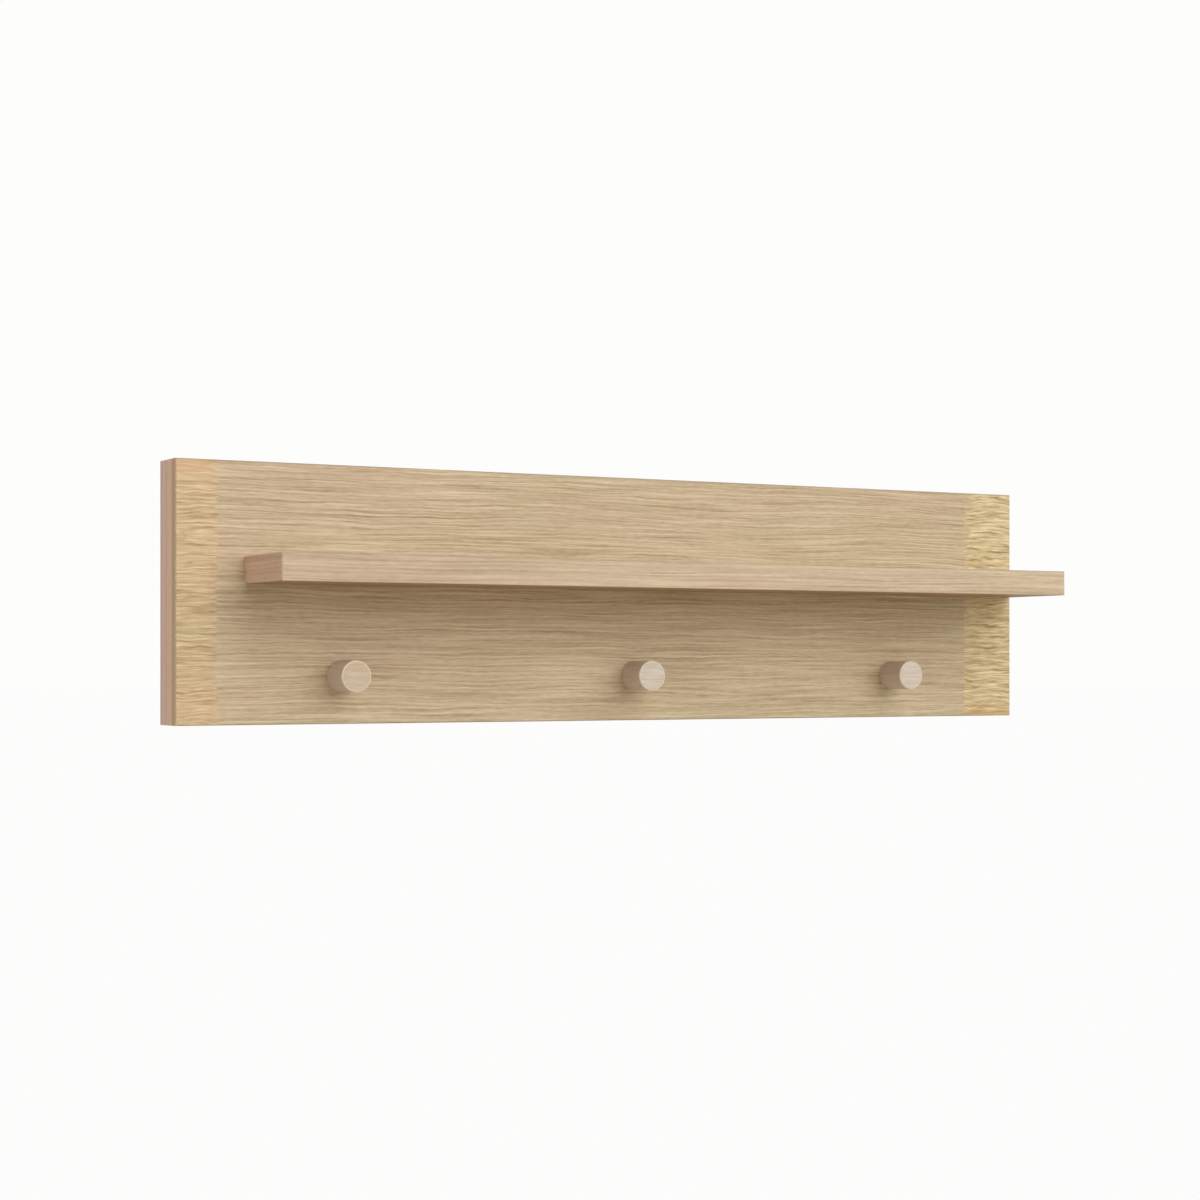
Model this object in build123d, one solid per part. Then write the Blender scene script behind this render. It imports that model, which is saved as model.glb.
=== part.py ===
from build123d import *
import os
from collections import namedtuple

# A wall rail of oak boards: a front board with a shelf and three round pegs, glued and
# screwed to a rear frame that hangs on two wall screws.
#
# X runs along the rail, to the right as seen from the room. Y points into the wall, and
# the wall is the plane y = 0. Z is up. The origin is halfway between the entry holes of
# the two keyhole plates. Lengths are in millimetres.

# Front boards
panel_length = 900.0
panel_height = 228.0
board_thickness = 24.0
left_end_width = 39.0
right_end_width = 60.0
arris = 0.8

# Loose splines between the main panel and its end boards
spline_thickness = 5.0
spline_width = 24.0
spline_stop = 15.0

# Rear frame
frame_thickness = 16.0
stile_width = 45.0
top_rail_width = 60.0
bottom_rail_width = 24.0
frame_dowel_radius = 3.0
frame_dowel_reach = 16.0
frame_dowel_inset = 14.0
rail_screw_margin = 30.0
rail_screw_count = 4

# Shelf
shelf_depth = 86.0
shelf_thickness = 24.0
shelf_height = 122.0
shelf_left_inset = 62.0
shelf_right_inset = 0.0
shelf_screw_margin = 40.0
shelf_screw_count = 4
shelf_dowel_radius = 4.0
shelf_dowel_reach = 24.0

# Pegs
peg_radius = 14.0
peg_length = 34.0
peg_height = 42.0
peg_end_margin = 152.0
peg_rim = 1.2
tenon_radius = 8.0
tenon_gap = 0.5

# Blind holes stop this far from the back of the front boards
blind_floor = 6.0

# Keyhole plates
hanger_end_margin = 200.0
plate_width = 20.0
plate_height = 46.0
plate_thickness = 2.0
plate_corner = 3.0
plate_screw_offset = 18.0
entry_radius = 5.0
entry_drop = 5.0
slot_radius = 2.5
slot_rise = 12.0
pocket_radius = 7.0
pocket_depth = 8.0

# Countersunk screws, all driven forwards from behind
Screw = namedtuple("Screw", "length radius head_radius")
frame_screw = Screw(length=35.0, radius=2.0, head_radius=4.0)
shelf_screw = Screw(length=60.0, radius=2.5, head_radius=5.0)
peg_screw = Screw(length=35.0, radius=2.0, head_radius=4.0)
plate_screw = Screw(length=12.0, radius=1.5, head_radius=3.0)
screw_clearance = 0.25
head_rim = 0.2
head_sink = 0.2
cross_length_share = 1.2
cross_width_share = 0.24
cross_depth_share = 0.45
point_share = 2.0

# Places along X
panel_left = -panel_length / 2
panel_right = panel_length / 2
left_joint = panel_left + left_end_width
right_joint = panel_right - right_end_width
left_end_centre = (panel_left + left_joint) / 2
right_end_centre = (right_joint + panel_right) / 2
left_stile_edge = panel_left + stile_width
right_stile_edge = panel_right - stile_width
spline_reach = spline_width / 2
shelf_left = panel_left + shelf_left_inset
shelf_right = panel_right - shelf_right_inset
peg_places = {
    "left_peg": panel_left + peg_end_margin,
    "middle_peg": (panel_left + panel_right) / 2,
    "right_peg": panel_right - peg_end_margin,
}
hanger_places = {
    "left_hanger_plate": panel_left + hanger_end_margin,
    "right_hanger_plate": panel_right - hanger_end_margin,
}

# Places along Y, from the wall to the room
wall_plane = 0.0
board_back = wall_plane - frame_thickness
board_front = board_back - board_thickness
board_middle = (board_back + board_front) / 2
frame_middle = (wall_plane + board_back) / 2
blind_end = board_back - blind_floor
shelf_front = board_front - shelf_depth
peg_front = board_front - peg_length

# Places along Z
panel_top = top_rail_width / 2 + entry_drop
panel_bottom = panel_top - panel_height
top_rail_bottom = panel_top - top_rail_width
top_rail_centre = (panel_top + top_rail_bottom) / 2
bottom_rail_top = panel_bottom + bottom_rail_width
bottom_rail_centre = (panel_bottom + bottom_rail_top) / 2
shelf_bottom = panel_bottom + shelf_height
shelf_top = shelf_bottom + shelf_thickness
shelf_centre = (shelf_bottom + shelf_top) / 2
peg_centre = panel_bottom + peg_height
stile_screw_height = (bottom_rail_top + top_rail_bottom) / 2


def spread(first, last, count):
    """Evenly spaced places from first to last."""
    return [first + (last - first) * step / (count - 1) for step in range(count)]


def slab(x, y, z):
    """A block between two places on each axis."""
    spans = [sorted(pair) for pair in (x, y, z)]
    size = [high - low for low, high in spans]
    centre = [(high + low) / 2 for low, high in spans]
    return Pos(*centre) * Box(*size)


def rod_along_y(radius, x, z, back, front):
    """A round bar or hole that runs from back to front."""
    return Pos(x, (back + front) / 2, z) * Rot(90, 0, 0) * Cylinder(radius, back - front)


def rod_along_x(radius, left, right, y, z):
    """A round bar or hole that runs from left to right."""
    return Pos((left + right) / 2, y, z) * Rot(0, 90, 0) * Cylinder(radius, right - left)


def front_edges(board, axis):
    """The edges of the board's front face that run along an axis, in order across it."""
    edges = board.edges().filter_by(axis).group_by(Axis.Y)[0]
    return edges.sort_by(Axis.X if axis == Axis.Z else Axis.Z)


# Screws


def screw_blank(kind):
    """A screw without its cross recess, head up, with the head's top at z = 0."""
    neck = head_rim + kind.head_radius - kind.radius
    outline = Polyline(
        (0, 0),
        (kind.head_radius, 0),
        (kind.head_radius, -head_rim),
        (kind.radius, -neck),
        (kind.radius, point_share * kind.radius - kind.length),
        (0, -kind.length),
        close=True,
    )
    return revolve(Plane.XZ * make_face(outline), Axis.Z)


def driven(blank, x, z, back):
    """Turns an upright screw to point forwards and sinks its head under the face at back."""
    return Pos(x, back - head_sink, z) * Rot(-90, 0, 0) * blank


def screw(kind, x, z, back):
    """A screw with a cross recess, in its place."""
    arm = cross_length_share * kind.head_radius
    width = cross_width_share * kind.head_radius
    depth = cross_depth_share * kind.head_radius
    cross = Box(arm, width, 2 * depth) + Box(width, arm, 2 * depth)
    return driven(screw_blank(kind) - cross, x, z, back)


def screw_hole(kind, x, z, back, grip):
    """The hole for a screw: loose as far as the face at grip, where the thread takes hold."""
    mouth = rod_along_y(kind.head_radius, x, z, back, back - head_sink)
    loose = rod_along_y(kind.radius + screw_clearance, x, z, back - head_sink, grip)
    return [mouth, loose, driven(screw_blank(kind), x, z, back)]


def screws(kind, places, back):
    """A group of like screws, as separate solids."""
    return Compound([screw(kind, x, z, back).solid() for x, z in places])


def screw_holes(kind, places, back, grip):
    """The holes for a group of like screws."""
    return [cut for x, z in places for cut in screw_hole(kind, x, z, back, grip)]


# Where the fasteners sit, as (x, z) pairs
rail_screw_row = spread(
    left_joint + spline_reach + rail_screw_margin,
    right_joint - spline_reach - rail_screw_margin,
    rail_screw_count,
)
top_rail_screw_places = [(x, top_rail_centre) for x in rail_screw_row]
bottom_rail_screw_places = [(x, bottom_rail_centre) for x in rail_screw_row]
stile_screw_places = [
    (x, z)
    for x in (left_end_centre, right_end_centre)
    for z in (stile_screw_height, top_rail_centre)
]
frame_screw_places = (
    top_rail_screw_places + bottom_rail_screw_places + stile_screw_places
)

shelf_screw_row = spread(
    shelf_left + shelf_screw_margin,
    right_joint - shelf_screw_margin,
    shelf_screw_count,
)
shelf_screw_places = [(x, shelf_centre) for x in shelf_screw_row + [right_end_centre]]
shelf_dowel_row = [
    (here + after) / 2 for here, after in zip(shelf_screw_row, shelf_screw_row[1:])
]
peg_screw_places = [(x, peg_centre) for x in peg_places.values()]

hanger_centres = [(x, top_rail_centre) for x in hanger_places.values()]
plate_screw_places = [
    (x, z + offset)
    for x, z in hanger_centres
    for offset in (-plate_screw_offset, plate_screw_offset)
]

frame_dowel_places = [
    (x, z)
    for x in (left_stile_edge, right_stile_edge)
    for z in (
        bottom_rail_centre,
        top_rail_bottom + frame_dowel_inset,
        panel_top - frame_dowel_inset,
    )
]


# Front boards


def spline_at(joint):
    """The loose tongue that lines up and glues one end-board joint."""
    half = spline_thickness / 2
    return slab(
        (joint - spline_reach, joint + spline_reach),
        (board_middle - half, board_middle + half),
        (panel_bottom + spline_stop, panel_top - spline_stop),
    )


def board_cuts():
    """All the holes and grooves that the front boards share between them."""
    cuts = [spline_at(left_joint), spline_at(right_joint)]
    cuts += screw_holes(frame_screw, frame_screw_places, wall_plane, board_back)
    cuts += screw_holes(shelf_screw, shelf_screw_places, board_back, board_front)
    cuts += screw_holes(peg_screw, peg_screw_places, board_back, blind_end)
    cuts += [shelf_dowel_at(x) for x in shelf_dowel_row]
    cuts += [
        rod_along_y(tenon_radius, x, peg_centre, blind_end, board_front)
        for x in peg_places.values()
    ]
    return cuts


def front_board(left, right):
    """A plain front board between two places along the rail."""
    return slab((left, right), (board_back, board_front), (panel_bottom, panel_top))


def main_panel():
    board = front_board(left_joint, right_joint)
    board = chamfer(front_edges(board, Axis.X), arris)
    return board - board_cuts()


def left_end_board():
    board = front_board(panel_left, left_joint)
    outer_edge = front_edges(board, Axis.Z)[0]
    board = chamfer([*front_edges(board, Axis.X), outer_edge], arris)
    return board - board_cuts()


def right_end_board():
    board = front_board(right_joint, panel_right)
    outer_edge = front_edges(board, Axis.Z)[-1]
    board = chamfer([*front_edges(board, Axis.X), outer_edge], arris)
    return board - board_cuts()


# Rear frame


def frame_dowel(edge, z):
    """A dowel across the joint between a rail's end and a stile's inner edge."""
    return rod_along_x(
        frame_dowel_radius,
        edge - frame_dowel_reach,
        edge + frame_dowel_reach,
        frame_middle,
        z,
    )


def frame_dowels():
    return Compound([frame_dowel(x, z).solid() for x, z in frame_dowel_places])


def frame_member(x, z):
    """A bar of the rear frame, with its dowel and screw holes."""
    bar = slab(x, (wall_plane, board_back), z)
    cuts = [frame_dowel(edge, height) for edge, height in frame_dowel_places]
    cuts += screw_holes(frame_screw, frame_screw_places, wall_plane, board_back)
    return bar - cuts


def top_rail():
    rail = frame_member(
        (left_stile_edge, right_stile_edge), (top_rail_bottom, panel_top)
    )
    for x, z in hanger_centres:
        rail -= plate_outline(x, z, plate_thickness)
        rail -= hanger_pocket(x, z)
    return rail - screw_holes(
        plate_screw, plate_screw_places, wall_plane, wall_plane - plate_thickness
    )


def bottom_rail():
    return frame_member(
        (left_stile_edge, right_stile_edge), (panel_bottom, bottom_rail_top)
    )


def left_stile():
    return frame_member((panel_left, left_stile_edge), (panel_bottom, panel_top))


def right_stile():
    return frame_member((right_stile_edge, panel_right), (panel_bottom, panel_top))


# Keyhole plates, let in flush with the back of the top rail


def forwards(sketch, x, z, depth):
    """Extrudes a sketch drawn on the wall plane forwards, with its centre at x, z."""
    return extrude(Plane.XZ * (Pos(x, z) * sketch), depth)


def upright_slot(radius):
    """A slot that starts at a keyhole's entry and ends where the wall screw rests."""
    return Pos(0, slot_rise / 2 - entry_drop) * Rot(0, 0, 90) * SlotCenterToCenter(
        slot_rise, 2 * radius
    )


def plate_outline(x, z, depth):
    """The plate without holes, which is also the recess that it lies in."""
    return forwards(
        RectangleRounded(plate_width, plate_height, plate_corner), x, z, depth
    )


def hanger_pocket(x, z):
    """The room behind a plate for the wall screw's head."""
    return forwards(upright_slot(pocket_radius), x, z, plate_thickness + pocket_depth)


def hanger_plate(x, z):
    keyhole = Pos(0, -entry_drop) * Circle(entry_radius) + upright_slot(slot_radius)
    plate = plate_outline(x, z, plate_thickness)
    plate -= forwards(keyhole, x, z, plate_thickness)
    return plate - screw_holes(
        plate_screw, plate_screw_places, wall_plane, wall_plane - plate_thickness
    )


# Shelf


def shelf_dowel_at(x):
    """A dowel from a blind hole in the main panel into the shelf's back edge."""
    return rod_along_y(
        shelf_dowel_radius,
        x,
        shelf_centre,
        blind_end,
        board_front - shelf_dowel_reach,
    )


def shelf_dowels():
    return Compound([shelf_dowel_at(x).solid() for x in shelf_dowel_row])


def shelf_board():
    """The shelf, butted against the front boards, with its front and ends eased."""
    board = slab(
        (shelf_left, shelf_right), (board_front, shelf_front), (shelf_bottom, shelf_top)
    )
    end_edges = board.edges().filter_by(Axis.Y)
    front_face_edges = board.edges().group_by(Axis.Y)[0]
    board = chamfer([*end_edges, *front_face_edges], arris)
    board -= [shelf_dowel_at(x) for x in shelf_dowel_row]
    return board - screw_holes(
        shelf_screw, shelf_screw_places, board_back, board_front
    )


# Pegs


def peg(x):
    """A turned peg: a plain round shaft with a narrower tenon glued into the panel."""
    shaft = rod_along_y(peg_radius, x, peg_centre, board_front, peg_front)
    shaft = fillet(shaft.edges().sort_by(Axis.Y)[0], peg_rim)
    tenon = rod_along_y(
        tenon_radius, x, peg_centre, blind_end - tenon_gap, board_front
    )
    return shaft + tenon - screw_hole(peg_screw, x, peg_centre, board_back, blind_end)


pieces = {
    "main_panel": main_panel(),
    "left_end_board": left_end_board(),
    "right_end_board": right_end_board(),
    "left_spline": spline_at(left_joint),
    "right_spline": spline_at(right_joint),
    "rear_top_rail": top_rail(),
    "rear_bottom_rail": bottom_rail(),
    "rear_left_stile": left_stile(),
    "rear_right_stile": right_stile(),
    "rear_frame_dowels": frame_dowels(),
    "rear_frame_screws": screws(frame_screw, frame_screw_places, wall_plane),
    "shelf_board": shelf_board(),
    "shelf_dowels": shelf_dowels(),
    "shelf_screws": screws(shelf_screw, shelf_screw_places, board_back),
    "peg_screws": screws(peg_screw, peg_screw_places, board_back),
    "hanger_plate_screws": screws(plate_screw, plate_screw_places, wall_plane),
}
for name, x in peg_places.items():
    pieces[name] = peg(x)
for name, x in hanger_places.items():
    pieces[name] = hanger_plate(x, top_rail_centre)

os.makedirs("parts", exist_ok=True)
for name, piece in pieces.items():
    export_step(piece, f"parts/{name}.step")
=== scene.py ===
import math

import bpy
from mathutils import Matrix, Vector, noise


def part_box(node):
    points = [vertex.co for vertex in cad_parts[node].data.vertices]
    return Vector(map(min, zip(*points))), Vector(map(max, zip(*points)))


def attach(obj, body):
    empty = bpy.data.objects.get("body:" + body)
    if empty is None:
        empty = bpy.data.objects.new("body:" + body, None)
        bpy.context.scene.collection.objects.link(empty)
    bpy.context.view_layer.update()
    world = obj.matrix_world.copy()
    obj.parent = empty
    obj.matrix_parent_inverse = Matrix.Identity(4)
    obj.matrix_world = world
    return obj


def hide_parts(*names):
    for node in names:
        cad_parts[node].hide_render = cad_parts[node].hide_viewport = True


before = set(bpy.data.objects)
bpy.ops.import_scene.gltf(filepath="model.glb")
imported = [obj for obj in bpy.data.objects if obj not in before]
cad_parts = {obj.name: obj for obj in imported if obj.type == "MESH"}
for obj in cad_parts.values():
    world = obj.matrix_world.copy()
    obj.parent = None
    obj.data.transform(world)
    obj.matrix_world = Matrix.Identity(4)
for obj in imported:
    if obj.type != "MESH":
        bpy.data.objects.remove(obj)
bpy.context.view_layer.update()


# Main panel: one wide board of planed oak with its grain along the rail, wire brushed so
# that the soft wood lies in shallow grooves. Screws from the rear frame hold it, and the
# shelf and the pegs are fixed through it.

MM = 0.001
BACK = Vector((0, 1, 0))
UP = Vector((0, 0, 1))
ROOM = -BACK
UPPER_ARRIS = (ROOM + UP).normalized()
LOWER_ARRIS = (ROOM - UP).normalized()

# How squarely a face looks in a direction, as the cosine between the two: a flat face, a
# nearly flat one, and one that only leans that way.
squarely = 0.999
nearly = 0.99
barely = 0.1
flush = 0.01 * MM
merge_distance = 0.001 * MM
flat_angle = math.radians(0.3)
smooth_angle = math.radians(30)

panel_cell = (6.0 * MM, 0.0, 0.65 * MM)
panel_depth = 0.26 * MM
panel_groove = (110 * MM, 3.6 * MM)
panel_groove_edge = 0.2
panel_waves = (
    (3.5 * MM, 190 * MM, 55 * MM),
    (1.2 * MM, 50 * MM, 14 * MM),
    (0.6 * MM, 18 * MM, 7 * MM),
)
wave_step = 7.3
panel_colours = {
    "pale": (220, 201, 172),
    "brown": (166, 141, 108),
    "rose": (219, 194, 166),
    "straw": (208, 196, 157),
}
panel_cut = {
    "fibre_length": 120 * MM,
    "fibres": 1.05,
    "tone_drift": (0.25, 0, -0.8),
    "start": (0, 8.8, 0),
}
arris_colours = {
    "pale": (184, 170, 144),
    "brown": (150, 132, 104),
    "rose": (184, 164, 140),
    "straw": (180, 170, 138),
}

# Each layer of fibres: its width, its length as a share of the figure's fibre length, its
# contrast, and what its noise is set to. A mask is the noise where a mark starts to show
# and where it shows fully.
fibre_layers = (
    (1.6 * MM, 1.0, 1.6, {"Detail": 1.0, "Roughness": 0.6}),
    (2.8 * MM, 1.4, 0.3, {}),
    (8.0 * MM, 1.8, 0.16, {}),
)
fleck_size = (9 * MM, 1.4 * MM)
fleck_contrast = 0.4
line_width = 3.6 * MM
line_stretch = 1.1
line_mask = (0.84, 1.0)
line_gap_size = (60 * MM, 9 * MM)
line_gap_mask = (0.36, 0.66)
pore_size = (9 * MM, 0.42 * MM)
pore_mask = (0.6, 0.74)
tone_mask = (0.3, 0.7)
tone_share = 0.5
usual_dark = 0.36
oak_roughness = (0.5, 0.68)
fibre_height = 0.25 * MM
fibre_relief = 0.5
wood_gloss = 0.3
node_step = 180


def select_only(piece):
    """Deselects everything and makes one piece the active and only selected object."""
    bpy.ops.object.select_all(action="DESELECT")
    piece.select_set(True)
    bpy.context.view_layer.objects.active = piece


def copy_of(node, name):
    """A closed mesh with a CAD node's exact shape: its loose triangles merged, flat faces
    joined where they meet, and the normals it came with dropped."""
    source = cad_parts[node]
    piece = bpy.data.objects.new(name, source.data.copy())
    bpy.context.scene.collection.objects.link(piece)
    piece.data.name = name
    piece.data.materials.clear()
    select_only(piece)
    bpy.ops.mesh.customdata_custom_splitnormals_clear()
    bpy.ops.object.mode_set(mode="EDIT")
    bpy.ops.mesh.select_all(action="SELECT")
    bpy.ops.mesh.remove_doubles(threshold=merge_distance)
    bpy.ops.mesh.dissolve_limited(angle_limit=flat_angle)
    bpy.ops.mesh.select_all(action="DESELECT")
    bpy.ops.mesh.select_mode(type="FACE")
    bpy.ops.object.mode_set(mode="OBJECT")
    return piece


def reach(piece, direction):
    """How far a piece's mesh goes in a direction."""
    return max(vertex.co.dot(direction) for vertex in piece.data.vertices)


def pick_faces(piece, direction):
    """Selects the piece's outermost faces that look in a direction, and says which."""
    limit = reach(piece, direction) - flush
    picked = []
    for face in piece.data.polygons:
        face.select = face.normal.dot(direction) > squarely and face.center.dot(direction) > limit
        if face.select:
            picked.append(face.index)
    return picked


def cut_cells(piece, direction, cell):
    """Cuts the outer face that looks in a direction into cells of a size, fine enough to
    carry relief. A size of 0 leaves that axis uncut."""
    select_only(piece)
    bpy.ops.object.mode_set(mode="EDIT")
    bpy.ops.mesh.select_all(action="DESELECT")
    bpy.ops.object.mode_set(mode="OBJECT")
    pick_faces(piece, direction)
    bpy.ops.object.mode_set(mode="EDIT")
    bpy.ops.mesh.hide(unselected=True)
    for axis, step in enumerate(cell):
        if step == 0:
            continue
        across = Vector([float(axis == other) for other in range(3)])
        low, high = -reach(piece, -across), reach(piece, across)
        count = max(1, round((high - low) / step))
        for cut in range(1, count):
            bpy.ops.mesh.select_all(action="SELECT")
            place = across * (low + (high - low) * cut / count)
            bpy.ops.mesh.bisect(plane_co=place, plane_no=across)
    bpy.ops.mesh.reveal(select=False)
    bpy.ops.object.mode_set(mode="OBJECT")


def brushed_pattern(name, edge):
    """Long thin grooves that fork and fade, as a wire brush leaves them in soft wood. Edge
    is where a groove starts, and a higher one makes it narrower."""
    pattern = bpy.data.textures.new(name, "MUSGRAVE")
    pattern.musgrave_type = "RIDGED_MULTIFRACTAL"
    pattern.octaves = 1
    pattern.noise_scale = 2.0
    pattern.use_color_ramp = True
    low, high = pattern.color_ramp.elements
    low.position, low.color = edge, (0, 0, 0, 1)
    high.position, high.color = 1.0, (1, 1, 1, 1)
    return pattern


def sway_at(place, waves):
    """How far the grain is bent upwards at a place. Each wave is its height, its length
    along the board and its width across it, and lies wave_step from the last one in the
    noise, so that no two are alike."""
    total = 0.0
    for number, (height, length, width) in enumerate(waves):
        spot = Vector((place.x / length, wave_step * number, place.z / width))
        total += height * noise.noise(spot)
    return total


def brush(piece, direction, depth, pattern, size, waves, slant=0.0, share_at=None):
    """Sinks a pattern's grooves into the outer face that looks in a direction, and leaves
    its eased edges alone. Size is a groove's length and spacing, and slant tilts them. The
    attributes "groove" and "sway" keep how deep each point lies, from 0 to 1, and how far
    the grain is bent there. Share_at says how much of all this a place gets, and the rest
    of both attributes is what the piece has there already."""
    mesh = piece.data
    level = direction in (UP, -UP)
    across = 1 if level else 2
    faces = pick_faces(piece, direction)
    eased = set()
    for face in mesh.polygons:
        if barely < face.normal.dot(direction) < nearly:
            eased.update(face.vertices)
    flat = sorted({v for index in faces for v in mesh.polygons[index].vertices} - eased)
    groove = mesh.attributes.get("groove") or mesh.attributes.new("groove", "FLOAT", "POINT")
    sway = mesh.attributes.get("sway") or mesh.attributes.new("sway", "FLOAT", "POINT")
    share = [share_at(vertex.co) if share_at else 1.0 for vertex in mesh.vertices]
    bend = []
    for index, vertex in enumerate(mesh.vertices):
        earlier = sway.data[index].value * (1 - share[index])
        bend.append(earlier + sway_at(vertex.co, waves) * share[index])
    sway.data.foreach_set("value", bend)

    chart = mesh.uv_layers.new(name="brush")
    for loop in mesh.loops:
        place = mesh.vertices[loop.vertex_index].co
        rise = place[across] + bend[loop.vertex_index] - slant * place.x
        chart.uv[loop.index].vector = (place.x / size[0], rise / size[1])
    touched = piece.vertex_groups.new(name="brushed")
    for index in flat:
        touched.add([index], share[index], "REPLACE")

    before = [vertex.co.copy() for vertex in mesh.vertices]
    sink = piece.modifiers.new("sink", "DISPLACE")
    sink.texture = pattern
    sink.texture_coords = "UV"
    sink.uv_layer = chart.name
    sink.direction = "Z" if level else "Y"
    sink.vertex_group = touched.name
    sink.mid_level = 0.0
    sink.strength = -depth * sum(direction)
    select_only(piece)
    bpy.ops.object.modifier_apply(modifier=sink.name)
    groove = mesh.attributes["groove"]
    for index in flat:
        earlier = groove.data[index].value * (1 - share[index])
        sunk = (before[index] - mesh.vertices[index].co).length
        groove.data[index].value = earlier + sunk / depth
    piece.vertex_groups.clear()
    mesh.uv_layers.remove(mesh.uv_layers["brush"])


def give(piece, direction, material, close=squarely):
    """Puts a material on all faces that look closely enough in a direction."""
    slots = piece.data.materials
    if slots.find(material.name) < 0:
        slots.append(material)
    for face in piece.data.polygons:
        if face.normal.dot(direction) > close:
            face.material_index = slots.find(material.name)


def give_arrises(piece, material):
    """Puts a material on the eased edges at the top and bottom of a board's front."""
    for arris in (UPPER_ARRIS, LOWER_ARRIS):
        give(piece, arris, material, nearly)


def hand_over(piece, node):
    """Smooths a finished piece's round faces and gives it its place in the assembly."""
    select_only(piece)
    bpy.ops.object.shade_smooth_by_angle(angle=smooth_angle)
    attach(piece, "root")
    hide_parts(node)


def tint(red, green, blue):
    """A colour written as it shows, 0 to 255, for a shader socket."""
    shares = [value / 255 for value in (red, green, blue)]
    linear = [s / 12.92 if s <= 0.04045 else ((s + 0.055) / 1.055) ** 2.4 for s in shares]
    return (*linear, 1.0)


def fill(tree, socket, value):
    """Links a socket to another, or sets its value."""
    if isinstance(value, bpy.types.NodeSocket):
        tree.links.new(value, socket)
    else:
        socket.default_value = value


def add(tree, kind, **values):
    """A shader node. Values are its settings, or go to its inputs, which are named with _
    for a space, or by number as i0, i1 and so on."""
    node = tree.nodes.new(kind)
    node.location = (node_step * len(tree.nodes), 0)
    for key, value in values.items():
        if hasattr(node, key):
            setattr(node, key, value)
        elif key[1:].isdigit():
            fill(tree, node.inputs[int(key[1:])], value)
        else:
            fill(tree, node.inputs[key.replace("_", " ")], value)
    return node


def math_of(tree, operation, *terms, clamp=False):
    """The result of one sum, product or other operation on values or sockets."""
    inputs = {f"i{index}": term for index, term in enumerate(terms)}
    return add(tree, "ShaderNodeMath", operation=operation, use_clamp=clamp, **inputs).outputs[0]


def vector_of(tree, operation, first, second):
    """The node of one operation on two vectors."""
    return add(tree, "ShaderNodeVectorMath", operation=operation, i0=first, i1=second)


def streaks(tree, place, along, across, detail=2.0, roughness=0.5):
    """Noise drawn out along the grain. Along and across are the size of a streak."""
    scale = (1 / along, 1 / across, 1 / across)
    spread = add(tree, "ShaderNodeMapping", vector_type="POINT", Vector=place, Scale=scale)
    spots = add(
        tree,
        "ShaderNodeTexNoise",
        Vector=spread.outputs[0],
        Scale=1.0,
        Detail=detail,
        Roughness=roughness,
    )
    return spots.outputs["Fac"]


def ramp(tree, value, low, high):
    """A value spread from 0 at low to 1 at high."""
    spread = add(tree, "ShaderNodeMapRange", i0=value, i1=low, i2=high, i3=0.0, i4=1.0, clamp=True)
    return spread.outputs[0]


def blend(tree, share, first, second):
    """Two colours mixed by a share, from 0 for the first to 1 for the second."""
    mix = add(tree, "ShaderNodeMix", data_type="RGBA", i0=share, i6=first, i7=second)
    return mix.outputs[2]


def group(name, inputs, outputs):
    """An empty node group with named inputs and outputs."""
    tree = bpy.data.node_groups.new(name, "ShaderNodeTree")
    for side, sockets in (("INPUT", inputs), ("OUTPUT", outputs)):
        for label, kind in sockets:
            tree.interface.new_socket(name=label, in_out=side, socket_type="NodeSocket" + kind)
    return tree, tree.nodes.new("NodeGroupInput"), tree.nodes.new("NodeGroupOutput")


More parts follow.
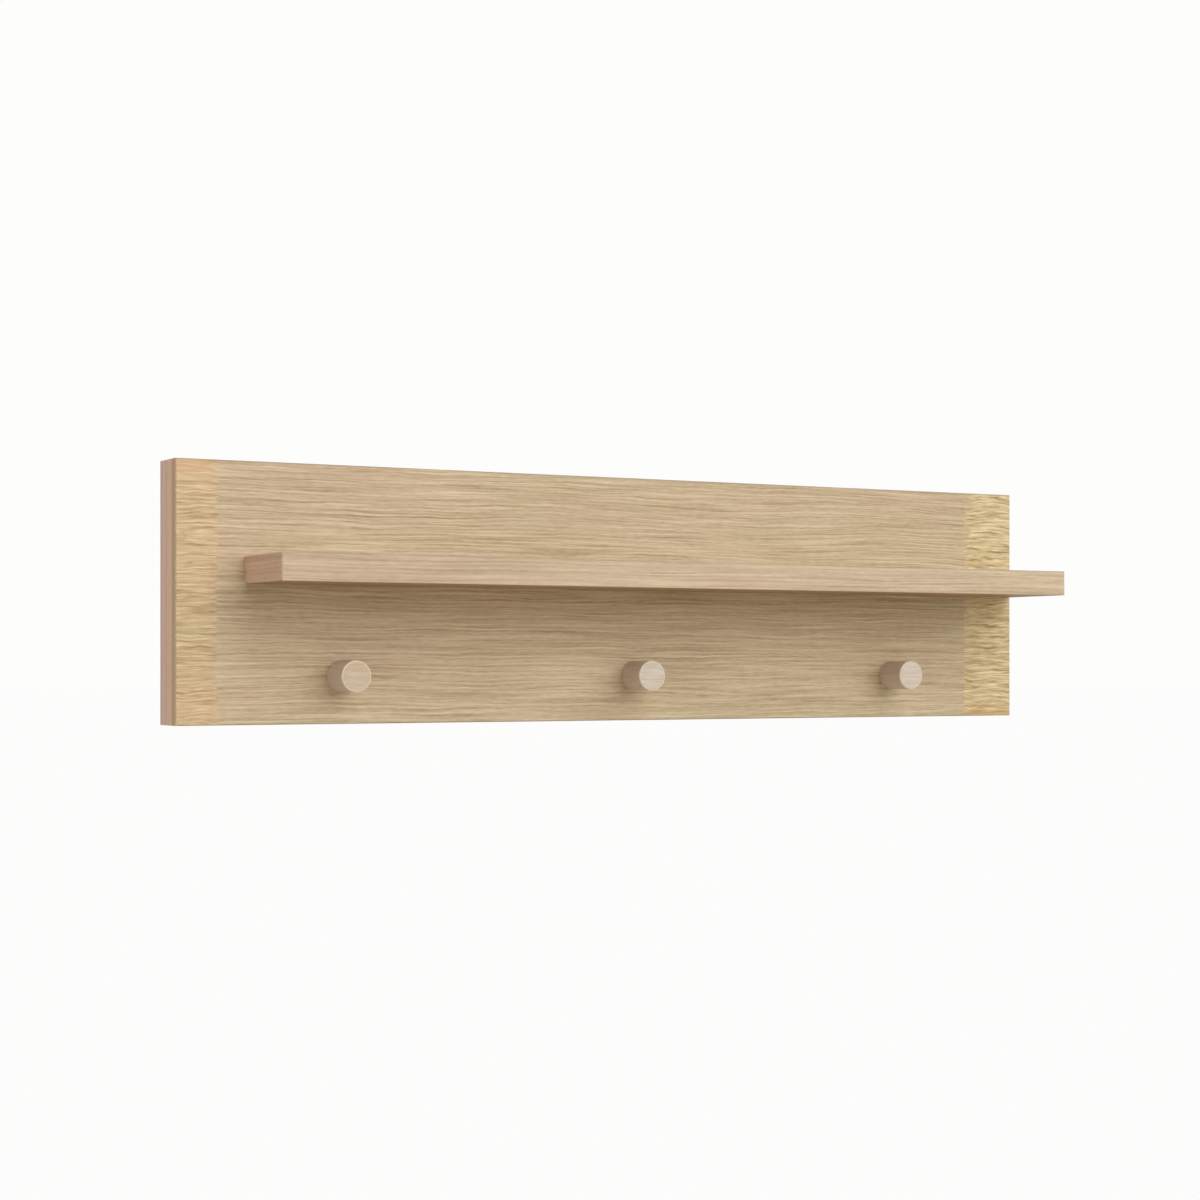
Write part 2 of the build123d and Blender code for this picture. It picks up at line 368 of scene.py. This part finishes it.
def oak_grain():
    """Oak figure in a place vector whose X runs along the grain: pale and dark fibres in
    three widths, a few thin dark lines, open pores and slow changes of tone. Height is low
    where the wood is dark."""
    tree, given, made = group(
        "oak_grain",
        [
            ("Place", "Vector"),
            ("Groove", "Float"),
            ("Fibre Length", "Float"),
            ("Fibres", "Float"),
            ("Lines", "Float"),
            ("Grooves", "Float"),
            ("Pores", "Float"),
            ("Tone Size", "Vector"),
            ("Tone Drift", "Vector"),
            ("Pale", "Color"),
            ("Brown", "Color"),
            ("Rose", "Color"),
            ("Straw", "Color"),
        ],
        [("Color", "Color"), ("Roughness", "Float"), ("Height", "Float")],
    )
    place = given.outputs["Place"]

    def stretched(width, stretch, **settings):
        """Noise as long as the fibres, stretched or shortened, and as wide as given."""
        length = math_of(tree, "MULTIPLY", given.outputs["Fibre Length"], stretch)
        size = add(tree, "ShaderNodeCombineXYZ", X=length, Y=width, Z=width)
        drawn = vector_of(tree, "DIVIDE", place, size.outputs[0])
        settings = {"Scale": 1.0, "Detail": 0.0, **settings}
        return add(tree, "ShaderNodeTexNoise", Vector=drawn.outputs[0], **settings).outputs["Fac"]

    def swing(value, contrast):
        """Noise turned into a swing about 0."""
        return math_of(tree, "MULTIPLY_ADD", value, contrast, -contrast / 2)

    fibres = swing(streaks(tree, place, *fleck_size, detail=0.0), fleck_contrast)
    for width, stretch, contrast, settings in fibre_layers:
        layer = swing(stretched(width, stretch, **settings), contrast)
        fibres = math_of(tree, "ADD", fibres, layer)

    ridge = stretched(
        line_width,
        line_stretch,
        noise_type="RIDGED_MULTIFRACTAL",
        normalize=False,
        Offset=1.0,
        Gain=1.0,
    )
    gaps = ramp(tree, streaks(tree, place, *line_gap_size, roughness=0.6), *line_gap_mask)
    line = math_of(tree, "MULTIPLY", ramp(tree, ridge, *line_mask), gaps)
    pore = ramp(tree, streaks(tree, place, *pore_size, detail=1.0), *pore_mask)

    drawn = vector_of(tree, "DIVIDE", place, given.outputs["Tone Size"])
    cloud = add(tree, "ShaderNodeTexNoise", Vector=drawn.outputs[0], Scale=1.0, Detail=2.0)
    drift = vector_of(tree, "DOT_PRODUCT", place, given.outputs["Tone Drift"])
    tone = math_of(tree, "ADD", cloud.outputs["Fac"], drift.outputs["Value"])
    tone = ramp(tree, tone, *tone_mask)

    dark = math_of(tree, "MULTIPLY_ADD", fibres, given.outputs["Fibres"], usual_dark)
    for mask, share in ((line, "Lines"), (given.outputs["Groove"], "Grooves"), (pore, "Pores")):
        dark = math_of(tree, "MULTIPLY_ADD", mask, given.outputs[share], dark)
    dark = math_of(tree, "ADD", dark, 0.0, clamp=True)

    ground = blend(tree, tone, given.outputs["Rose"], given.outputs["Straw"])
    ground = blend(tree, tone_share, given.outputs["Pale"], ground)
    colour = blend(tree, dark, ground, given.outputs["Brown"])
    smooth, rough = oak_roughness
    sheen = add(tree, "ShaderNodeMapRange", i0=dark, i1=0.0, i2=1.0, i3=smooth, i4=rough)
    height = math_of(tree, "SUBTRACT", 1.0, dark)
    fill(tree, made.inputs["Color"], colour)
    fill(tree, made.inputs["Roughness"], sheen.outputs[0])
    fill(tree, made.inputs["Height"], height)
    return tree


oak_grain_group = oak_grain()


def figure(
    tree,
    colours,
    fibre_length=110 * MM,
    fibres=1.0,
    lines=0.2,
    grooves=0.1,
    pores=0.2,
    tone_size=(180 * MM, 60 * MM, 45 * MM),
    tone_drift=(0, 0, 0),
    start=(0, 0, 0),
    turn=(0, 0, 0),
    coarse=1.0,
):
    """The oak figure of one board. Fibres, lines, grooves and pores say how dark each of
    them shows. Turn brings the board's grain onto X, start is where on the log it was cut,
    and coarse widens its fibres."""
    own = add(tree, "ShaderNodeTexCoord")
    sway = add(tree, "ShaderNodeAttribute", attribute_name="sway")
    bend = add(tree, "ShaderNodeCombineXYZ", Z=sway.outputs["Fac"])
    bent = vector_of(tree, "ADD", own.outputs["Object"], bend.outputs[0])
    place = add(
        tree,
        "ShaderNodeMapping",
        Vector=bent.outputs[0],
        Location=start,
        Rotation=[math.radians(angle) for angle in turn],
        Scale=(1, 1 / coarse, 1 / coarse),
    )
    groove = add(tree, "ShaderNodeAttribute", attribute_name="groove")
    grain = tree.nodes.new("ShaderNodeGroup")
    grain.node_tree = oak_grain_group
    values = {
        "Place": place.outputs[0],
        "Groove": groove.outputs["Fac"],
        "Fibre Length": fibre_length,
        "Fibres": fibres,
        "Lines": lines,
        "Grooves": grooves,
        "Pores": pores,
        "Tone Size": tone_size,
        "Tone Drift": tone_drift,
        **{label.capitalize(): tint(*colour) for label, colour in colours.items()},
    }
    for label, value in values.items():
        fill(tree, grain.inputs[label], value)
    return grain


def oak(name, colours, **cut):
    """Matt wood, oiled or bare, with a board's figure."""
    material = bpy.data.materials.new(name)
    material.use_nodes = True
    tree = material.node_tree
    shader = tree.nodes["Principled BSDF"]
    grain = figure(tree, colours, **cut)
    relief = add(
        tree,
        "ShaderNodeBump",
        Strength=fibre_relief,
        Distance=fibre_height,
        Height=grain.outputs["Height"],
    )
    fill(tree, shader.inputs["Base Color"], grain.outputs["Color"])
    fill(tree, shader.inputs["Roughness"], grain.outputs["Roughness"])
    fill(tree, shader.inputs["Normal"], relief.outputs["Normal"])
    fill(tree, shader.inputs["Specular IOR Level"], wood_gloss)
    return material


panel_grooves = brushed_pattern("panel_grooves", panel_groove_edge)
panel_oak = oak("panel_oak", panel_colours, **panel_cut)
arris_oak = oak("arris_oak", arris_colours)
main_panel = copy_of("main_panel", "main_panel_brushed")
cut_cells(main_panel, ROOM, panel_cell)
brush(main_panel, ROOM, panel_depth, panel_grooves, panel_groove, panel_waves)
main_panel.data.materials.append(panel_oak)
give_arrises(main_panel, arris_oak)
hand_over(main_panel, "main_panel")


# End boards: two narrow boards of a yellower, curly oak that close the main panel's ends,
# each glued on with a loose spline. Their brushed grain is short, wavy and deeper, and the
# panel's figure seems to run on into them.

ALONG = Vector((1, 0, 0))
end_cell = (1.5 * MM, 0.0, 0.65 * MM)
ripple_edge = 0.45
joint_run = 9 * MM
fade_from = -30 * MM
fade_run = 40 * MM
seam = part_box("rear_left_stile")[0].y
end_low, end_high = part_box("right_end_board")
rail_end = end_high.x
board_top = end_high.z
board_middle = (end_low.z + end_high.z) / 2
border_lean = 0.03
raggedness = 4
run_on_patch = (14 * MM, 2.2 * MM)
upright = (0, 90, 0)
end_tones = {"tone_size": (60 * MM, 30 * MM, 30 * MM), "tone_drift": (0.25, 0, 0)}
run_on_colours = {
    "pale": (222, 203, 173),
    "brown": (168, 143, 109),
    "rose": (221, 196, 167),
    "straw": (210, 198, 158),
}
# Painted light: the cut ends are paler than their end grain would be, to stand in for the light that
# falls on the left-facing ends. Their pink tone is the wood's own.
cut_end_painted_light_colours = {
    "pale": (243, 212, 186),
    "brown": (204, 166, 138),
    "rose": (243, 210, 188),
    "straw": (238, 210, 178),
}
dark_band = (194, 159, 130)

# Side is where a board's cut end is, and cut is its own figure. Its ripples have a depth, a
# size, waves and a slant, and fade is how much shallower they are low down. Run_on is where
# the panel's figure takes over, and warm is where the wood has a warmer patch.
end_boards = {
    "left_end_board": {
        "side": -ALONG,
        "colours": {
            "pale": (229, 208, 173),
            "brown": (167, 139, 98),
            "rose": (229, 199, 160),
            "straw": (225, 209, 160),
        },
        "cut": {"fibre_length": 40 * MM, "fibres": 1.1, "grooves": 0.15},
        "ripple_depth": 0.24 * MM,
        "ripple": (24 * MM, 4.6 * MM),
        "ripple_waves": ((2.0 * MM, 24 * MM, 20 * MM), (0.7 * MM, 9 * MM, 7 * MM)),
        "slant": 0.02,
        "fade": 0.0,
        "run_on": {"axis": ALONG, "middle": -rail_end, "low": 35 * MM, "high": 38 * MM},
        "warm": {
            "colour": (218, 178, 138),
            "axis": UP,
            "middle": board_middle,
            "low": 88 * MM,
            "high": 112 * MM,
            "most": 0.55,
            "patch": (30 * MM, 12 * MM),
        },
    },
    "right_end_board": {
        "side": ALONG,
        "colours": {
            "pale": (233, 214, 174),
            "brown": (166, 140, 97),
            "rose": (231, 205, 162),
            "straw": (229, 214, 160),
        },
        "cut": {"fibre_length": 26 * MM, "fibres": 1.3, "grooves": 0.15, "coarse": 1.2},
        "ripple_depth": 0.4 * MM,
        "ripple": (22 * MM, 6.0 * MM),
        "ripple_waves": ((5.0 * MM, 40 * MM, 60 * MM), (1.2 * MM, 9 * MM, 7 * MM)),
        "slant": 0.2,
        "fade": 0.3,
        "run_on": {
            "axis": ALONG - border_lean * UP,
            "middle": rail_end,
            "low": 52 * MM,
            "high": 60 * MM,
        },
        "warm": {
            "colour": (195, 150, 93),
            "axis": UP,
            "middle": board_top,
            "low": 217 * MM,
            "high": 224 * MM,
            "most": 0.55,
            "patch": (20 * MM, 4 * MM),
        },
    },
}


def ripple_share(joint, fade):
    """How much of the ripples a place gets: none at the joint, all of them from joint_run
    away, and less by fade in the lower part of the board."""

    def share_at(place):
        below = min(1.0, max(0.0, (fade_from - place.z) / fade_run))
        return min(1.0, abs(place.x - joint) / joint_run) * (1 - fade * below)

    return share_at


def stain(material, colour, axis, middle, low, high, most=1.0, patch=None):
    """Brings a wood's colour towards another colour or figure: not at all closer than low
    to the middle along an axis, and by the share most from high on. A patch size makes the
    border ragged."""
    tree = material.node_tree
    skin = tree.nodes["Principled BSDF"].inputs["Base Color"]
    place = add(tree, "ShaderNodeTexCoord").outputs["Object"]
    along = vector_of(tree, "DOT_PRODUCT", place, axis).outputs["Value"]
    away = math_of(tree, "ABSOLUTE", math_of(tree, "SUBTRACT", along, middle))
    if patch:
        wander = math_of(tree, "SUBTRACT", streaks(tree, place, *patch), 0.5)
        away = math_of(tree, "MULTIPLY_ADD", wander, raggedness * (high - low), away)
    share = math_of(tree, "MULTIPLY", ramp(tree, away, low, high), most)
    if not isinstance(colour, bpy.types.NodeSocket):
        colour = tint(*colour)
    fill(tree, skin, blend(tree, share, skin.links[0].from_socket, colour))


ripples = brushed_pattern("ripples", ripple_edge)
# The cut ends' material carries painted light: its paleness stands in for light falling on the ends.
cut_end_painted_light_oak = oak(
    "cut_end_painted_light_oak", cut_end_painted_light_colours, fibre_length=400 * MM, fibres=0.7, turn=upright
)
stain(cut_end_painted_light_oak, dark_band, BACK, seam, low=11.5 * MM, high=14.5 * MM, most=0.9)
for node, given in end_boards.items():
    board = copy_of(node, node + "_brushed")
    joint = -given["side"].x * reach(board, -given["side"])
    cut_cells(board, ROOM, end_cell)
    brush(board, ROOM, panel_depth, panel_grooves, panel_groove, panel_waves)
    brush(
        board,
        ROOM,
        given["ripple_depth"],
        ripples,
        given["ripple"],
        given["ripple_waves"],
        given["slant"],
        ripple_share(joint, given["fade"]),
    )
    end_oak = oak(node + "_oak", given["colours"], **given["cut"], **end_tones)
    stain(end_oak, **given["warm"])
    run_on = figure(end_oak.node_tree, run_on_colours, **panel_cut).outputs["Color"]
    stain(end_oak, run_on, **given["run_on"], patch=run_on_patch)
    board.data.materials.append(end_oak)
    give(board, given["side"], cut_end_painted_light_oak)
    give_arrises(board, arris_oak)
    hand_over(board, node)


# Shelf: a plain oak board butted against the front, held by dowels and long screws from
# behind, with its front and ends eased. It is sanded smoother than the panel.

shelf_depth = 0.06 * MM
shelf_groove = (90 * MM, 4.5 * MM)
shelf_waves = ((4 * MM, 230 * MM, 40 * MM), (1.2 * MM, 70 * MM, 14 * MM))
shelf_fibre = 170 * MM
front_to_back = (0, 0, 90)
shelf_cells = (
    (ROOM, (5.0 * MM, 0.0, 0.8 * MM)),
    (UP, (5.0 * MM, 1.2 * MM, 0.0)),
    (-UP, (5.0 * MM, 1.2 * MM, 0.0)),
)
shelf_colours = {
    "pale": (218, 197, 171),
    "brown": (168, 144, 116),
    "rose": (206, 180, 158),
    "straw": (222, 205, 172),
}
# Painted shade: the shelf's underside is darker than its front and top because it lies in shade, not
# because the wood is darker.
underside_painted_shade_colours = {
    "pale": (179, 148, 112),
    "brown": (144, 113, 80),
    "rose": (177, 142, 108),
    "straw": (173, 147, 107),
}
# Painted highlight: the shelf's lower front edge is paler than the wood, standing in for light caught
# along that edge.
lower_edge_painted_highlight_colours = {
    "pale": (236, 215, 186),
    "brown": (210, 186, 156),
    "rose": (234, 210, 184),
    "straw": (232, 214, 182),
}
# Painted light: the shelf's ends are paler than their end grain would be, standing in for the light
# that falls on the left end. Their warm tone is the wood's own.
shelf_end_painted_light_colours = {
    "pale": (226, 194, 170),
    "brown": (176, 142, 116),
    "rose": (226, 190, 168),
    "straw": (220, 190, 160),
}
shelf = copy_of("shelf_board", "shelf_sanded")
for direction, cell in shelf_cells:
    cut_cells(shelf, direction, cell)
for direction, cell in shelf_cells:
    brush(shelf, direction, shelf_depth, panel_grooves, shelf_groove, shelf_waves)
shelf_oak = oak(
    "shelf_oak",
    shelf_colours,
    fibre_length=shelf_fibre,
    fibres=0.85,
    start=(0, 2, 3),
    tone_drift=(0.5, 0, 0),
)
underside_painted_shade_oak = oak(
    "shelf_underside_oak", underside_painted_shade_colours, fibre_length=shelf_fibre, start=(0, 1, 2)
)
# The shelf's ends carry painted light in their paler colour.
shelf_end_painted_light_oak = oak("shelf_end_painted_light_oak", shelf_end_painted_light_colours, fibres=0.7, turn=front_to_back)
lower_edge_painted_highlight_oak = oak("shelf_lower_edge_oak", lower_edge_painted_highlight_colours)
shelf.data.materials.append(shelf_oak)
# The underside gets its painted shade here.
give(shelf, -UP, underside_painted_shade_oak)
give(shelf, ALONG, shelf_end_painted_light_oak)
give(shelf, -ALONG, shelf_end_painted_light_oak)
give(shelf, UPPER_ARRIS, arris_oak, nearly)
# The lower front edge gets its painted highlight here.
give(shelf, LOWER_ARRIS, lower_edge_painted_highlight_oak, nearly)
hand_over(shelf, "shelf_board")


# Pegs: three turned oak pegs, each a plain round shaft with a softened rim and a narrower
# tenon behind, glued into the panel and drawn tight by a screw.

peg_sides = 96
peg_rim = 1.2 * MM
rim_steps = 6
tenon_radius = 8.0 * MM
disc_cut = {"fibre_length": 24 * MM, "fibres": 0.8, "grooves": 0.0, "pores": 0.1}
side_cut = {"fibre_length": 60 * MM, "fibres": 0.5, "turn": front_to_back}
disc_colours = {
    "left_peg": {
        "pale": (212, 195, 172),
        "brown": (184, 161, 135),
        "rose": (209, 189, 166),
        "straw": (207, 195, 166),
    },
    "middle_peg": {
        "pale": (217, 207, 194),
        "brown": (190, 173, 157),
        "rose": (216, 203, 190),
        "straw": (214, 205, 187),
    },
    "right_peg": {
        "pale": (219, 209, 195),
        "brown": (192, 176, 159),
        "rose": (218, 205, 191),
        "straw": (216, 207, 189),
    },
}
# Painted highlight: the pegs' rims are paler than the discs and shafts, standing in for a bright ring
# of light around each disc.
rim_painted_highlight_colours = {
    "pale": (232, 219, 200),
    "brown": (206, 189, 168),
    "rose": (230, 214, 197),
    "straw": (232, 218, 190),
}
shaft_colours = {
    "pale": (211, 192, 173),
    "brown": (180, 159, 140),
    "rose": (209, 186, 171),
    "straw": (206, 190, 165),
}


def turned_peg(node):
    """A round bar with a rounded front rim, stepped down at the back to its tenon."""
    low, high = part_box(node)
    panel_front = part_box("main_panel")[0].y
    radius = (high.x - low.x) / 2
    middle = (low + high) / 2
    bpy.ops.object.select_all(action="DESELECT")
    bpy.ops.mesh.primitive_cylinder_add(
        vertices=peg_sides,
        radius=radius,
        depth=panel_front - low.y,
        location=(middle.x, (panel_front + low.y) / 2, middle.z),
        rotation=(math.radians(90), 0, 0),
    )
    peg = bpy.context.object
    peg.name = node + "_turned"
    bpy.ops.object.transform_apply(location=True, rotation=True, scale=True)
    bpy.ops.object.mode_set(mode="EDIT")
    bpy.ops.mesh.select_mode(type="FACE")
    bpy.ops.mesh.select_all(action="DESELECT")
    bpy.ops.object.mode_set(mode="OBJECT")
    pick_faces(peg, BACK)
    bpy.ops.object.mode_set(mode="EDIT")
    bpy.ops.mesh.inset(thickness=radius - tenon_radius)
    bpy.ops.mesh.extrude_region_move(TRANSFORM_OT_translate={"value": (0, high.y - panel_front, 0)})
    bpy.ops.mesh.select_all(action="DESELECT")
    bpy.ops.object.mode_set(mode="OBJECT")
    pick_faces(peg, ROOM)
    bpy.ops.object.mode_set(mode="EDIT")
    bpy.ops.mesh.bevel(offset=peg_rim, segments=rim_steps, affect="EDGES")
    bpy.ops.mesh.select_all(action="DESELECT")
    bpy.ops.object.mode_set(mode="OBJECT")
    return peg


shaft_oak = oak("peg_shaft_oak", shaft_colours, **side_cut)
rim_painted_highlight_oak = oak("peg_rim_oak", rim_painted_highlight_colours, **side_cut)
for node, colours in disc_colours.items():
    peg = turned_peg(node)
    peg.data.materials.append(shaft_oak)
    # The rim faces get their painted highlight here.
    give(peg, ROOM, rim_painted_highlight_oak, barely)
    give(peg, ROOM, oak(node + "_disc_oak", colours, **disc_cut))
    hand_over(peg, node)


# Rear frame: two rails and two stiles of planed oak, doweled and glued together. It holds
# the front off the wall and carries the hanger plates. The stiles' outer edges are darker
# and mauve along the wall, and darker along the seam.

wall = 0.0
frame_colours = {
    "pale": (222, 195, 171),
    "brown": (172, 143, 122),
    "rose": (220, 187, 166),
    "straw": (216, 191, 162),
}
# Painted light: the stiles' outer sides are paler than the frame's wood, standing in for the light that
# falls on the left side. Their pink and mauve tones are the wood's own.
stile_side_painted_light_colours = {
    "pale": (247, 211, 196),
    "brown": (208, 170, 154),
    "rose": (246, 206, 194),
    "straw": (242, 208, 188),
}
mauve_edge = (209, 179, 170)
seam_line = (214, 181, 155)
rail_oak = oak("frame_rail_oak", frame_colours, start=(5, 2, 1))
stile_oak = oak("frame_stile_oak", frame_colours, turn=upright)
# The stiles' outer sides carry painted light in their paler colour.
stile_side_painted_light_oak = oak(
    "frame_stile_side_oak", stile_side_painted_light_colours, fibre_length=400 * MM, fibres=0.6, turn=upright
)
stain(stile_side_painted_light_oak, mauve_edge, BACK, seam, low=9.5 * MM, high=11.5 * MM, most=0.85)
stain(stile_side_painted_light_oak, seam_line, BACK, wall, low=11.5 * MM, high=13.5 * MM, most=0.85)
for node in ("rear_top_rail", "rear_bottom_rail"):
    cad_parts[node].material_slots[0].material = rail_oak
for node, side in (("rear_left_stile", -ALONG), ("rear_right_stile", ALONG)):
    stile = copy_of(node, node + "_planed")
    stile.data.materials.append(stile_oak)
    give(stile, side, stile_side_painted_light_oak)
    hand_over(stile, node)


# Screws and hanger plates: zinc-plated countersunk screws, and stamped steel keyhole
# plates let in flush with the back of the top rail.

cloud_scale = 260.0
cloud_mask = (0.35, 0.7)
cloud_dulling = 0.16


def plated(name, colour, spot, roughness):
    """Plated steel with cloudy changes in its plating, rougher where the cloud shows."""
    material = bpy.data.materials.new(name)
    material.use_nodes = True
    tree = material.node_tree
    shader = tree.nodes["Principled BSDF"]
    own = add(tree, "ShaderNodeTexCoord").outputs["Object"]
    cloud = add(tree, "ShaderNodeTexNoise", Vector=own, Scale=cloud_scale, Detail=4.0)
    share = ramp(tree, cloud.outputs["Fac"], *cloud_mask)
    dull = math_of(tree, "MULTIPLY_ADD", share, cloud_dulling, roughness)
    fill(tree, shader.inputs["Base Color"], blend(tree, share, tint(*colour), tint(*spot)))
    fill(tree, shader.inputs["Roughness"], dull)
    fill(tree, shader.inputs["Metallic"], 1.0)
    return material


zinc = plated("zinc_plating", (196, 198, 200), (170, 170, 160), roughness=0.28)
steel = plated("hanger_plating", (186, 187, 188), (150, 150, 148), roughness=0.32)
for node in ("rear_frame_screws", "shelf_screws", "peg_screws", "hanger_plate_screws"):
    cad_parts[node].material_slots[0].material = zinc
for node in ("left_hanger_plate", "right_hanger_plate"):
    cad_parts[node].material_slots[0].material = steel


# Splines and dowels: birch plywood splines between the panel and its end boards, and
# beech dowels in the rear frame's joints and behind the shelf. All are glued in, and none
# of them shows.

birch_colours = {
    "pale": (224, 202, 168),
    "brown": (186, 156, 118),
    "rose": (220, 194, 160),
    "straw": (222, 200, 160),
}
beech_colours = {
    "pale": (216, 184, 150),
    "brown": (176, 140, 106),
    "rose": (212, 174, 142),
    "straw": (210, 180, 142),
}
birch = oak("birch_ply", birch_colours, turn=upright)
beech = oak("beech_rod", beech_colours, pores=0.1)
for node in ("left_spline", "right_spline"):
    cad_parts[node].material_slots[0].material = birch
for node in ("rear_frame_dowels", "shelf_dowels"):
    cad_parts[node].material_slots[0].material = beech


# Studio: a pale floor below the hung rail, a broad lamp from the upper right, a weak one
# from the left, and a plain world. The background shows white.

floor_height = -1.6
floor_size = 300
floor_colour = (236, 224, 208)
floor_roughness = 0.9
floor_white = 0.95
paper_white = (253, 253, 252)
world_light = 0.26
camera_place = (-1.11597, -1.96407, -0.14210)
camera_turn = (90, 0, -29.285)
camera_lens = 70.79
camera_sensor = 36.0
camera_rise = 0.05512


def seen_directly(tree):
    """1 for what the camera sees itself, or sees in metal or through glass."""
    path = add(tree, "ShaderNodeLightPath")
    shiny = math_of(tree, "MAXIMUM", path.outputs["Is Glossy Ray"], path.outputs["Is Transmission Ray"])
    return math_of(tree, "MAXIMUM", path.outputs["Is Camera Ray"], shiny)


bpy.ops.object.select_all(action="DESELECT")
bpy.ops.mesh.primitive_plane_add(size=floor_size, location=(0, 0, floor_height))
floor = bpy.context.object
floor.name = "studio_floor"
paint = bpy.data.materials.new("studio_floor")
paint.use_nodes = True
tree = paint.node_tree
matt = tree.nodes["Principled BSDF"]
fill(tree, matt.inputs["Base Color"], tint(*floor_colour))
fill(tree, matt.inputs["Roughness"], floor_roughness)
fill(tree, matt.inputs["Specular IOR Level"], 0.0)
glow = add(tree, "ShaderNodeEmission", Color=tint(255, 255, 255), Strength=1.0)
share = math_of(tree, "MULTIPLY", seen_directly(tree), floor_white)
both = add(tree, "ShaderNodeMixShader", i0=share, i1=matt.outputs[0], i2=glow.outputs[0])
fill(tree, tree.nodes["Material Output"].inputs["Surface"], both.outputs[0])
floor.data.materials.append(paint)

world = bpy.data.worlds.new("studio")
bpy.context.scene.world = world
world.use_nodes = True
tree = world.node_tree
dim = tree.nodes["Background"]
fill(tree, dim.inputs["Color"], (1, 1, 1, 1))
fill(tree, dim.inputs["Strength"], world_light)
white = add(tree, "ShaderNodeBackground", Color=tint(*paper_white), Strength=1.0)
share = seen_directly(tree)
both = add(tree, "ShaderNodeMixShader", i0=share, i1=dim.outputs[0], i2=white.outputs[0])
fill(tree, tree.nodes["World Output"].inputs["Surface"], both.outputs[0])


def lamp(name, azimuth, elevation, strength, softness):
    """A far lamp. Azimuth is measured from the rail's front towards its right end, and
    softness is how wide the lamp looks. All three angles are in degrees."""
    light = bpy.data.lights.new(name, "SUN")
    light.energy = strength * math.pi
    light.angle = math.radians(softness)
    holder = bpy.data.objects.new(name, light)
    bpy.context.scene.collection.objects.link(holder)
    turn, rise = math.radians(azimuth), math.radians(elevation)
    level = math.sin(turn) * ALONG - math.cos(turn) * BACK
    toward = math.cos(rise) * level + math.sin(rise) * UP
    holder.rotation_euler = toward.to_track_quat("Z", "Y").to_euler()


lamp("key", azimuth=25, elevation=33, strength=0.72, softness=64)
lamp("fill", azimuth=-72, elevation=20, strength=0.17, softness=60)

bpy.ops.object.camera_add(
    location=camera_place, rotation=[math.radians(angle) for angle in camera_turn]
)
camera = bpy.context.object
camera.name = "camera"
camera.data.sensor_width = camera_sensor
camera.data.lens = camera_lens
camera.data.shift_y = camera_rise
bpy.context.scene.camera = camera
bpy.context.scene.view_settings.view_transform = "Standard"
